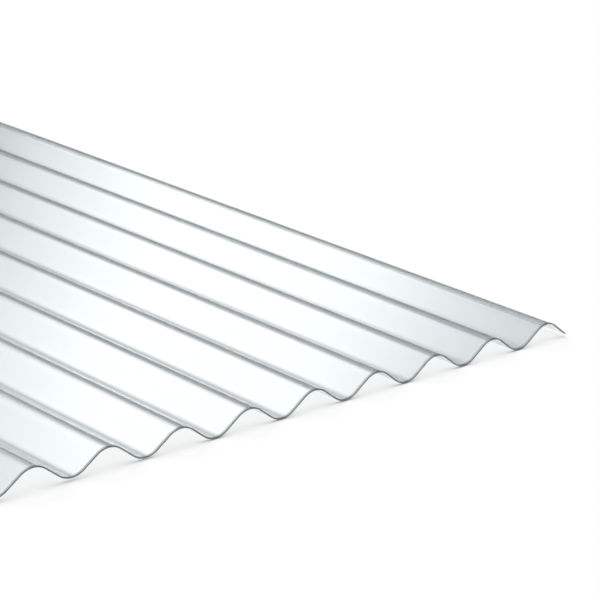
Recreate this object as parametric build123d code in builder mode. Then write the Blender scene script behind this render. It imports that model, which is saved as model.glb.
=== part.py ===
from build123d import *
from math import atan, ceil, cos, pi, sin, tan
import os

# Clear corrugated polycarbonate roofing sheet with a 76/18 sine wave, one piece with no holes, ribs or films.
# The real one is extruded flat as a thin clear skin, rolled into waves while it is warm and trimmed to width
# and length. It lies flat here, as it does on a level floor: +Y runs along the crests, +X across them and +Z
# up. The origin is on the floor under the middle of the sheet, in a valley of the wave.

# The wave, measured on the middle of the skin
pitch = 76.0  # from one crest to the next
wave_depth = 18.0  # from crest to valley
thickness = 1.2  # of the skin, everywhere

# The sheet
crest_count = 14
edge_run = 28.5  # from the outer crest to the trimmed long edge, measured flat
length = 2000.0  # along the crests

# Crests and valleys are round, and the flanks between them are flat and as steep as a true sine wave gets
flank_angle = atan(pi * wave_depth / pitch)
half_pitch = pitch / 2
quarter_pitch = pitch / 4
half_depth = wave_depth / 2
bend_radius = (quarter_pitch * sin(flank_angle) - half_depth * cos(flank_angle)) / (1 - cos(flank_angle))
apex_rise = quarter_pitch * tan(flank_angle)  # of the sharp corner where two flanks would meet

# Places that follow from the sizes above
mid_height = half_depth + thickness / 2
outer_crest = (crest_count - 1) * half_pitch
sheet_width = 2 * (outer_crest + edge_run)
turns_past = ceil(edge_run / half_pitch) + 1  # of the wave beyond each outer crest, before the trim
turn_count = 2 * (crest_count + turns_past) - 1


def wave_corners():
    """The corners of the zigzag that the bends round off, from left to right."""
    corners = []
    for turn in range(turn_count):
        side = -1 if (turn - turns_past) % 2 else 1
        across = (turn - turns_past) * half_pitch - outer_crest
        corners.append((across, mid_height + side * apex_rise))
    return corners


with BuildPart() as corrugated_sheet:
    with BuildSketch(Plane.XZ) as section:
        with BuildLine() as skin_middle:
            FilletPolyline(*wave_corners(), radius=bend_radius)
        trace(line_width=thickness)
        # Both long edges are trimmed upright
        split(bisect_by=Plane.YZ.offset(-sheet_width / 2), keep=Keep.TOP)
        split(bisect_by=Plane.YZ.offset(sheet_width / 2), keep=Keep.BOTTOM)
    extrude(amount=length / 2, both=True)

corrugated_sheet.part.label = "corrugated_sheet"

os.makedirs("parts", exist_ok=True)
export_step(corrugated_sheet.part, "parts/corrugated_sheet.step")

print(f"sheet {sheet_width:g} x {length:g} mm, {wave_depth + thickness:g} mm high, {crest_count} crests")
print(f"bends of {bend_radius:.2f} mm, flanks at {flank_angle * 180 / pi:.1f} degrees")
print(f"volume {corrugated_sheet.part.volume:.0f} cubic millimetres")
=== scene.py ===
from math import atan, cos, pi, radians, sin

import bmesh
import bpy
from mathutils import Matrix, Vector, noise


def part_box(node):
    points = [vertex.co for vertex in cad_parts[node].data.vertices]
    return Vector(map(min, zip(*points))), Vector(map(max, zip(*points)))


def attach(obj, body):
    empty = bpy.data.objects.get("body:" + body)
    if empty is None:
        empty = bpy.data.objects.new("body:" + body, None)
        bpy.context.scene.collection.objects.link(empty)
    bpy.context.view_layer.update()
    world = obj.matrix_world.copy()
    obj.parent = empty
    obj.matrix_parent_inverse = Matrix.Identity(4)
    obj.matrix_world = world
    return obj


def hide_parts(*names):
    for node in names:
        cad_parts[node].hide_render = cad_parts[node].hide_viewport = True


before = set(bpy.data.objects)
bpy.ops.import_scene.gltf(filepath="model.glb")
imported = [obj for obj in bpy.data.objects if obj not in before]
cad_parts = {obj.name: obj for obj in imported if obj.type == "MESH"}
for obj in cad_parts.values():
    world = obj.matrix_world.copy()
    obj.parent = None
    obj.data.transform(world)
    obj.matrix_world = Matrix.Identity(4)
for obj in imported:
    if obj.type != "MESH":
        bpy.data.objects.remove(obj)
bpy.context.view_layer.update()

# The sheet is one clear skin of polycarbonate, extruded flat, rolled into a sine wave while warm, and sawn
# square. Its section is swept bend by bend, as the rollers form it, and drawn out to the full length. It is
# thin and springy, so it ripples a little as it lies, and its near left corner stands a few millimetres up.
MM = 0.001
PITCH = 76 * MM
WAVE_DEPTH = 18 * MM
SKIN = 1.2 * MM
CRESTS = 14
BEND_STEPS = 14  # flat strips round each bend
LENGTH_CUTS = 49  # across the sheet, one every 40 mm
ARRIS = 0.12 * MM  # taken off every sawn edge
ARRIS_STEPS = 2
ROUND = 0.5  # the profile of that arris
SHARP = radians(20)  # faces that meet at more than this meet at a sawn edge
UPRIGHT = 0.9  # a sawn face points at least this much along or across the sheet
RIPPLE = 0.5 * MM  # how far the thin skin rises and falls as it lies
RIPPLE_ACROSS = 130 * MM  # from one ripple to the next
RIPPLE_ALONG = 380 * MM
CURL = 3.2 * MM  # how far the near left corner springs up off the floor
CURL_LENGTH = 240 * MM  # the stretch that it takes to rise
CURL_RIGHT = 80 * MM  # where the lift ends across the sheet, and the width over which it dies out
CURL_FADE = 240 * MM
sheet_low, sheet_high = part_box("corrugated_sheet")
mid_height = (WAVE_DEPTH + SKIN) / 2
flank_angle = atan(pi * WAVE_DEPTH / PITCH)
bend_radius = (PITCH / 4 * sin(flank_angle) - WAVE_DEPTH / 2 * cos(flank_angle)) / (1 - cos(flank_angle))
flank_run = PITCH / 2 - 2 * bend_radius * sin(flank_angle)
flank_drop = WAVE_DEPTH - 2 * bend_radius * (1 - cos(flank_angle))


def roll_section(form):
    """Spins the skin's thickness round each bend in turn and carries it straight along the flanks between."""
    first = -CRESTS  # a valley: there is one past each outer crest, and it is trimmed off later
    for turn in range(first, CRESTS + 1):
        side = 1 if (turn - first) % 2 else -1
        centre = Vector((turn * PITCH / 2, sheet_low.y, mid_height + side * (WAVE_DEPTH / 2 - bend_radius)))
        if turn == first:
            ray = Vector((-sin(flank_angle), 0, side * cos(flank_angle)))
            ends = [form.verts.new(centre + ray * (bend_radius + half)) for half in (-SKIN / 2, SKIN / 2)]
            across = form.edges.new(ends)
        else:
            flank = bmesh.ops.extrude_edge_only(form, edges=[across])["geom"]
            across = next(part for part in flank if isinstance(part, bmesh.types.BMEdge))
            bmesh.ops.translate(form, verts=across.verts, vec=(flank_run, 0, side * flank_drop))
        bend = bmesh.ops.spin(
            form, geom=[across, *across.verts], cent=centre, axis=(0, side, 0),
            angle=2 * flank_angle, steps=BEND_STEPS,
        )["geom_last"]
        across = next(part for part in bend if isinstance(part, bmesh.types.BMEdge))


def trim_long_edges(form):
    """Cuts the wave off upright at the sheet's two long edges."""
    for side, edge in ((-1, sheet_low.x), (1, sheet_high.x)):
        everything = form.verts[:] + form.edges[:] + form.faces[:]
        bmesh.ops.bisect_plane(
            form, geom=everything, plane_co=(edge, 0, 0), plane_no=(side, 0, 0), clear_outer=True
        )


def draw_out(form):
    """Draws the section out along the sheet and divides it evenly along its length."""
    drawn = bmesh.ops.extrude_face_region(form, geom=form.faces[:])["geom"]
    ahead = [part for part in drawn if isinstance(part, bmesh.types.BMVert)]
    bmesh.ops.translate(form, verts=ahead, vec=(0, sheet_high.y - sheet_low.y, 0))
    lengthwise = [edge for edge in form.edges if abs(edge.verts[0].co.y - edge.verts[1].co.y) > SKIN]
    bmesh.ops.subdivide_edges(form, edges=lengthwise, cuts=LENGTH_CUTS, use_grid_fill=True)
    bmesh.ops.recalc_face_normals(form, faces=form.faces[:])


def let_it_lie(form):
    """Lifts the skin a little here and there, and at its near left corner, as a thin springy sheet lies."""
    for vertex in form.verts:
        spot = Vector((vertex.co.x / RIPPLE_ACROSS, vertex.co.y / RIPPLE_ALONG, 0))
        near_end = max(0.0, 1 - (vertex.co.y - sheet_low.y) / CURL_LENGTH) ** 2
        leftwards = min(1.0, max(0.0, (CURL_RIGHT - vertex.co.x) / CURL_FADE))
        ease = leftwards ** 2 * (3 - 2 * leftwards)  # level at both ends
        vertex.co.z += RIPPLE * (1 + noise.noise(spot)) / 2 + CURL * near_end * ease


form = bmesh.new()
roll_section(form)
trim_long_edges(form)
draw_out(form)
cut_edges = [edge for edge in form.edges if edge.calc_face_angle(0) > SHARP]
bmesh.ops.bevel(
    form, geom=cut_edges, offset=ARRIS, affect="EDGES", segments=ARRIS_STEPS, profile=ROUND, material=-1,
    clamp_overlap=True,
)
for face in form.faces:
    face.smooth = True
    face.material_index = 1 if max(abs(face.normal.x), abs(face.normal.y)) > UPRIGHT else 0
let_it_lie(form)
sheet_mesh = bpy.data.meshes.new("clear_sheet")
form.to_mesh(sheet_mesh)
form.free()
sheet_mesh.set_sharp_from_angle(angle=SHARP)
clear_sheet = bpy.data.objects.new("clear_sheet", sheet_mesh)
bpy.context.scene.collection.objects.link(clear_sheet)


def linear(hex_colour):
    """An sRGB hex colour as linear RGBA."""
    parts = [int(hex_colour[i:i + 2], 16) / 255 for i in (1, 3, 5)]
    return (*(p / 12.92 if p <= 0.04045 else ((p + 0.055) / 1.055) ** 2.4 for p in parts), 1)


def add(tree, kind, settings=None, inputs=None):
    """Adds a node, sets its own properties and fills its inputs with values or with other nodes' outputs."""
    node = tree.nodes.new(kind)
    for name, value in (settings or {}).items():
        setattr(node, name, value)
    for name, value in (inputs or {}).items():
        if isinstance(value, bpy.types.NodeSocket):
            tree.links.new(value, node.inputs[name])
        else:
            node.inputs[name].default_value = value
    return node


def new_material(name):
    """A material with an empty node tree."""
    material = bpy.data.materials.new(name)
    material.use_nodes = True
    material.node_tree.nodes.clear()
    return material


POLYCARBONATE_IOR = 1.585
BODY_COLOUR = linear("#AAC2C3")
BODY_DENSITY = 30.0  # for each metre of plastic, so the tint shows only where the eye looks along the skin


def let_light_through(material, surface, straight_colour):
    """Finishes a clear material: the light of sky and floor goes straight through it to what is behind."""
    tree = material.node_tree
    straight = add(tree, "ShaderNodeBsdfTransparent", None, {"Color": straight_colour}).outputs[0]
    ray = add(tree, "ShaderNodeLightPath").outputs
    seen = add(tree, "ShaderNodeMixShader", None, {
        0: ray["Is Diffuse Ray"], 1: surface, 2: straight,
    }).outputs[0]
    lit = add(tree, "ShaderNodeMixShader", None, {
        0: ray["Is Shadow Ray"], 1: seen, 2: straight,
    }).outputs[0]
    body = add(tree, "ShaderNodeVolumeAbsorption", None, {
        "Color": BODY_COLOUR, "Density": BODY_DENSITY,
    }).outputs[0]
    add(tree, "ShaderNodeOutputMaterial", None, {"Surface": lit, "Volume": body})


# Clear extruded polycarbonate: glossy as it leaves the polished rollers, and a cool pale grey where the eye
# looks along the skin. Faint die lines run with the waves, handling has dulled the gloss here and there, and
# the saw has frosted the last three millimetres before each cut end. That band is also painted a darker grey,
# painted shade that thickens the dark line along each cut edge.
CLEAR_COLOUR = linear("#E2E6E8")
CLEAR_STRAIGHT = linear("#FBFCFC")
# Painted shade: the frosted band's darker grey stands in for the dark line and shadow along each cut edge.
FROST_AND_PAINTED_SHADE_COLOUR = linear("#939D9D")
FROST_STRAIGHT = linear("#5C6363")
FROST_AND_SHADE_START = 3.4 * MM  # from the cut end, as the next one
FROST_AND_SHADE_FULL = 1.2 * MM
GLOSS = 0.02  # the roughness of the skin as it was rolled, where it is rubbed, and beside the saw cut
DULLED = 0.06
FROSTED = 0.30
DULL_PATCH = 60 * MM
DULL_DETAIL = 4.0
DULL_START = 0.5  # the levels of the patches' noise between which the gloss goes from full to dulled
DULL_FULL = 0.7
MIX_A, MIX_B, MIX_RESULT = 6, 7, 2  # the numbers of the sockets that a Mix node has for colours
DIE_LINE_GAP = 3 * MM
DIE_LINE_LENGTH = 700 * MM
DIE_LINE_DEPTH = 0.008 * MM
DIE_LINE_DETAIL = 1.0
clear = new_material("clear_extruded_polycarbonate")
tree = clear.node_tree
place = add(tree, "ShaderNodeTexCoord").outputs["Object"]
along = add(tree, "ShaderNodeSeparateXYZ", None, {0: place}).outputs["Y"]
reach = add(tree, "ShaderNodeMath", {"operation": "ABSOLUTE"}, {0: along}).outputs[0]
# The band before each cut end: its roughness and the shadow it casts come from the saw's frosting, and its
# darker colour is painted shade.
frost_and_edge_shade = add(tree, "ShaderNodeMapRange", {"interpolation_type": "SMOOTHSTEP"}, {
    "Value": reach, "From Min": sheet_high.y - FROST_AND_SHADE_START, "From Max": sheet_high.y - FROST_AND_SHADE_FULL,
}).outputs[0]
colour = add(tree, "ShaderNodeMix", {"data_type": "RGBA"}, {
    "Factor": frost_and_edge_shade, MIX_A: CLEAR_COLOUR, MIX_B: FROST_AND_PAINTED_SHADE_COLOUR,
}).outputs[MIX_RESULT]
straight_colour = add(tree, "ShaderNodeMix", {"data_type": "RGBA"}, {
    "Factor": frost_and_edge_shade, MIX_A: CLEAR_STRAIGHT, MIX_B: FROST_STRAIGHT,
}).outputs[MIX_RESULT]
patches = add(tree, "ShaderNodeTexNoise", None, {
    "Vector": place, "Scale": 1 / DULL_PATCH, "Detail": DULL_DETAIL,
}).outputs[0]
dulling = add(tree, "ShaderNodeMapRange", None, {
    "Value": patches, "From Min": DULL_START, "From Max": DULL_FULL, "To Min": GLOSS, "To Max": DULLED,
}).outputs[0]
roughness = add(tree, "ShaderNodeMapRange", None, {
    "Value": frost_and_edge_shade, "To Min": dulling, "To Max": FROSTED,
}).outputs[0]
stretched = add(tree, "ShaderNodeMapping", None, {
    "Vector": place, "Scale": (1 / DIE_LINE_GAP, 1 / DIE_LINE_LENGTH, 1 / DIE_LINE_GAP),
}).outputs[0]
die_lines = add(tree, "ShaderNodeTexNoise", None, {
    "Vector": stretched, "Scale": 1.0, "Detail": DIE_LINE_DETAIL,
}).outputs[0]
surface_normal = add(tree, "ShaderNodeBump", None, {
    "Strength": 1.0, "Distance": DIE_LINE_DEPTH, "Height": die_lines,
}).outputs[0]
skin = add(tree, "ShaderNodeBsdfPrincipled", None, {
    "Base Color": colour, "Roughness": roughness, "IOR": POLYCARBONATE_IOR, "Transmission Weight": 1.0,
    "Normal": surface_normal,
}).outputs[0]
let_light_through(clear, skin, straight_colour)

# Sawn polycarbonate: frosted by the teeth, so the cut edge draws a fine grey line round the sheet. The tooth
# marks stand upright across it, drawn twice as coarse as a fine blade leaves them, so that they show.
SAWN_COLOUR = linear("#A2ACAA")
SAWN_CLEARNESS = 0.65  # the share of light that still goes in, the rest scatters off the tooth marks
SAWN_ROUGHNESS = 0.30
TOOTH_GAP = 0.8 * MM
TOOTH_DEPTH = 0.05 * MM
TOOTH_DETAIL = 2.0
sawn = new_material("sawn_polycarbonate_edge")
tree = sawn.node_tree
place = add(tree, "ShaderNodeTexCoord").outputs["Object"]
upright = add(tree, "ShaderNodeMapping", None, {
    "Vector": place, "Scale": (1 / TOOTH_GAP, 1 / TOOTH_GAP, 0.0),
}).outputs[0]
tooth_marks = add(tree, "ShaderNodeTexNoise", None, {
    "Vector": upright, "Scale": 1.0, "Detail": TOOTH_DETAIL,
}).outputs[0]
surface_normal = add(tree, "ShaderNodeBump", None, {
    "Strength": 1.0, "Distance": TOOTH_DEPTH, "Height": tooth_marks,
}).outputs[0]
skin = add(tree, "ShaderNodeBsdfPrincipled", None, {
    "Base Color": SAWN_COLOUR, "Roughness": SAWN_ROUGHNESS, "IOR": POLYCARBONATE_IOR,
    "Transmission Weight": SAWN_CLEARNESS, "Normal": surface_normal,
}).outputs[0]
let_light_through(sawn, skin, FROST_STRAIGHT)

sheet_mesh.materials.append(clear)
sheet_mesh.materials.append(sawn)
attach(clear_sheet, "root")
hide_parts("corrugated_sheet")

# The floor is a plain pale studio floor, matt and level. The camera, and whatever is seen in or through the
# sheet, finds it lifted to white by a faint glow, while the sheet's shadow still falls on it.
FLOOR_HALF = 30  # metres from its middle to its sides
FLOOR_DROP = 0.3 * MM  # below the sheet, so that the two never share a plane
FLOOR_WHITENESS = 0.85
FLOOR_GLOW = 0.045
floor_form = bmesh.new()
bmesh.ops.create_grid(floor_form, x_segments=1, y_segments=1, size=FLOOR_HALF)
bmesh.ops.translate(floor_form, verts=floor_form.verts, vec=(0, 0, -FLOOR_DROP))
floor_mesh = bpy.data.meshes.new("pale_floor")
floor_form.to_mesh(floor_mesh)
floor_form.free()
floor = bpy.data.objects.new("pale_floor", floor_mesh)
bpy.context.scene.collection.objects.link(floor)


def met_by_the_eye(tree):
    """1 where the camera looks, directly, mirrored or through the sheet, and 0 where only light goes."""
    ray = add(tree, "ShaderNodeLightPath").outputs
    met = ray["Is Camera Ray"]
    for also in ("Is Glossy Ray", "Is Transmission Ray"):
        met = add(tree, "ShaderNodeMath", {"operation": "MAXIMUM"}, {0: met, 1: ray[also]}).outputs[0]
    return met


# Matt white paint: an even pale ground with no gloss.
paint = new_material("matt_white_paint")
tree = paint.node_tree
matt = add(tree, "ShaderNodeBsdfDiffuse", None, {
    "Color": (FLOOR_WHITENESS, FLOOR_WHITENESS, FLOOR_WHITENESS, 1),
}).outputs[0]
glow = add(tree, "ShaderNodeEmission", None, {"Color": (1, 1, 1, 1), "Strength": FLOOR_GLOW}).outputs[0]
lifted = add(tree, "ShaderNodeAddShader", None, {0: matt, 1: glow}).outputs[0]
ground = add(tree, "ShaderNodeMixShader", None, {0: met_by_the_eye(tree), 1: matt, 2: lifted}).outputs[0]
add(tree, "ShaderNodeOutputMaterial", None, {"Surface": ground})
floor_mesh.materials.append(paint)

# The studio is a room with soft light: a bright ceiling, dimmer walls that end well above a dark foot, and a
# long soft light that hangs low beyond the far end of the sheet. The mirror image of that light is what makes
# the flanks of the waves shine white. A low white cove carries the floor on, wherever the eye meets it.
DIM_FOOT = 0.12  # the strengths of the studio's parts, where 1 is white
SIDE_WALLS = 0.5
FRONT_WALL = 1.1
CEILING = 1.8
LOW_LIGHT = 2.8
END_WALLS = 1.0
END_WALL_FOOT = 0.25  # the share of their light that the end walls keep at their foot
WALLS_Z = (0.40, 0.60)  # where each part starts and is full, as shares of a direction along X, Y or Z
FRONT_TURN_Y = (0.35, -0.35)  # from the side walls' strength to the front wall's
DARK_END_X = (0.02, 0.50)  # the far right end of the walls is dark
DARK_END_Y = (0.20, 0.45)
FAR_GAP_Y = (0.803, 0.783)  # past the low light, before the far end wall
CEILING_Z = (0.80, 0.95)
LIGHT_NEAR_Y = (0.615, 0.695)
LIGHT_FAR_Y = (0.805, 0.735)
LIGHT_RIGHT_X = (0.64, 0.20)
LIGHT_FOOT_Z = (0.38, 0.50)
END_WALLS_Y = (0.83, 0.91)
END_FOOT_Z = (0.03, 0.26)
END_TOP_Z = (0.60, 0.40)
COVE_Z = (0.09, 0.05)
world = bpy.data.worlds.new("studio")
bpy.context.scene.world = world
world.use_nodes = True
tree = world.node_tree
tree.nodes.clear()


def lit_part(strength, *edges):
    """One part of the studio: full strength inside its edges, and softly down to a share of it past each."""
    for position, (start, full), share_past in edges:
        level = add(tree, "ShaderNodeMapRange", {"interpolation_type": "SMOOTHSTEP"}, {
            "Value": position, "From Min": start, "From Max": full, "To Min": share_past,
        }).outputs[0]
        strength = add(tree, "ShaderNodeMath", {"operation": "MULTIPLY"}, {0: strength, 1: level}).outputs[0]
    return strength


direction = add(tree, "ShaderNodeTexCoord").outputs["Generated"]
axes = add(tree, "ShaderNodeSeparateXYZ", None, {0: direction}).outputs
x, y, z = axes["X"], axes["Y"], axes["Z"]
far_gap = (y, FAR_GAP_Y, 0.0)
all_walls = lit_part(FRONT_WALL, (y, FRONT_TURN_Y, SIDE_WALLS / FRONT_WALL), (z, WALLS_Z, 0.0), far_gap)
dark_end = lit_part(all_walls, (x, DARK_END_X, 0.0), (y, DARK_END_Y, 0.0))
walls = add(tree, "ShaderNodeMath", {"operation": "SUBTRACT"}, {0: all_walls, 1: dark_end}).outputs[0]
ceiling = lit_part(CEILING - SIDE_WALLS, (z, CEILING_Z, 0.0))
low_light = lit_part(
    LOW_LIGHT, (y, LIGHT_NEAR_Y, 0.0), (y, LIGHT_FAR_Y, 0.0), (x, LIGHT_RIGHT_X, 0.0), (z, LIGHT_FOOT_Z, 0.0),
    far_gap,
)
either_end = add(tree, "ShaderNodeMath", {"operation": "ABSOLUTE"}, {0: y}).outputs[0]
end_walls = lit_part(
    END_WALLS, (either_end, END_WALLS_Y, 0.0), (z, END_FOOT_Z, END_WALL_FOOT), (z, END_TOP_Z, 0.0)
)
seen_cove = lit_part(met_by_the_eye(tree), (z, COVE_Z, 0.0))
cove = add(tree, "ShaderNodeMath", {"operation": "MULTIPLY"}, {0: seen_cove, 1: 1 - DIM_FOOT}).outputs[0]
light = DIM_FOOT
for part in (walls, ceiling, low_light, end_walls, cove):
    light = add(tree, "ShaderNodeMath", {"operation": "ADD"}, {0: light, 1: part}).outputs[0]
sky = add(tree, "ShaderNodeBackground", None, {"Color": (1, 1, 1, 1), "Strength": light})
add(tree, "ShaderNodeOutputWorld", None, {"Surface": sky.outputs[0]})

# The camera looks down along the waves from beyond the near cut end, turned and tilted as in the photograph,
# which shows nine crests at that end and cuts the rest of the sheet off at its left side.
AZIMUTH = -0.746  # radians, as the next two
ELEVATION = 0.3266
ROLL = 0.044
LENS = 134.9  # millimetres, as the sensor
SENSOR = 36
CAMERA_PLACE = Vector((-1.0815, -2.3504, 0.7304))
CLIP_END = 100  # metres, past the floor's corners
back = Vector((sin(AZIMUTH) * cos(ELEVATION), -cos(AZIMUTH) * cos(ELEVATION), sin(ELEVATION)))
right = Vector((0, 0, 1)).cross(back).normalized()
up = back.cross(right)
right, up = right * cos(ROLL) + up * sin(ROLL), up * cos(ROLL) - right * sin(ROLL)
camera_data = bpy.data.cameras.new("camera")
camera_data.lens = LENS
camera_data.sensor_width = SENSOR
camera_data.clip_end = CLIP_END
camera = bpy.data.objects.new("camera", camera_data)
camera.matrix_world = Matrix.Translation(CAMERA_PLACE) @ Matrix((right, up, back)).transposed().to_4x4()
bpy.context.scene.collection.objects.link(camera)
bpy.context.scene.camera = camera

bpy.context.scene.view_settings.view_transform = "Standard"
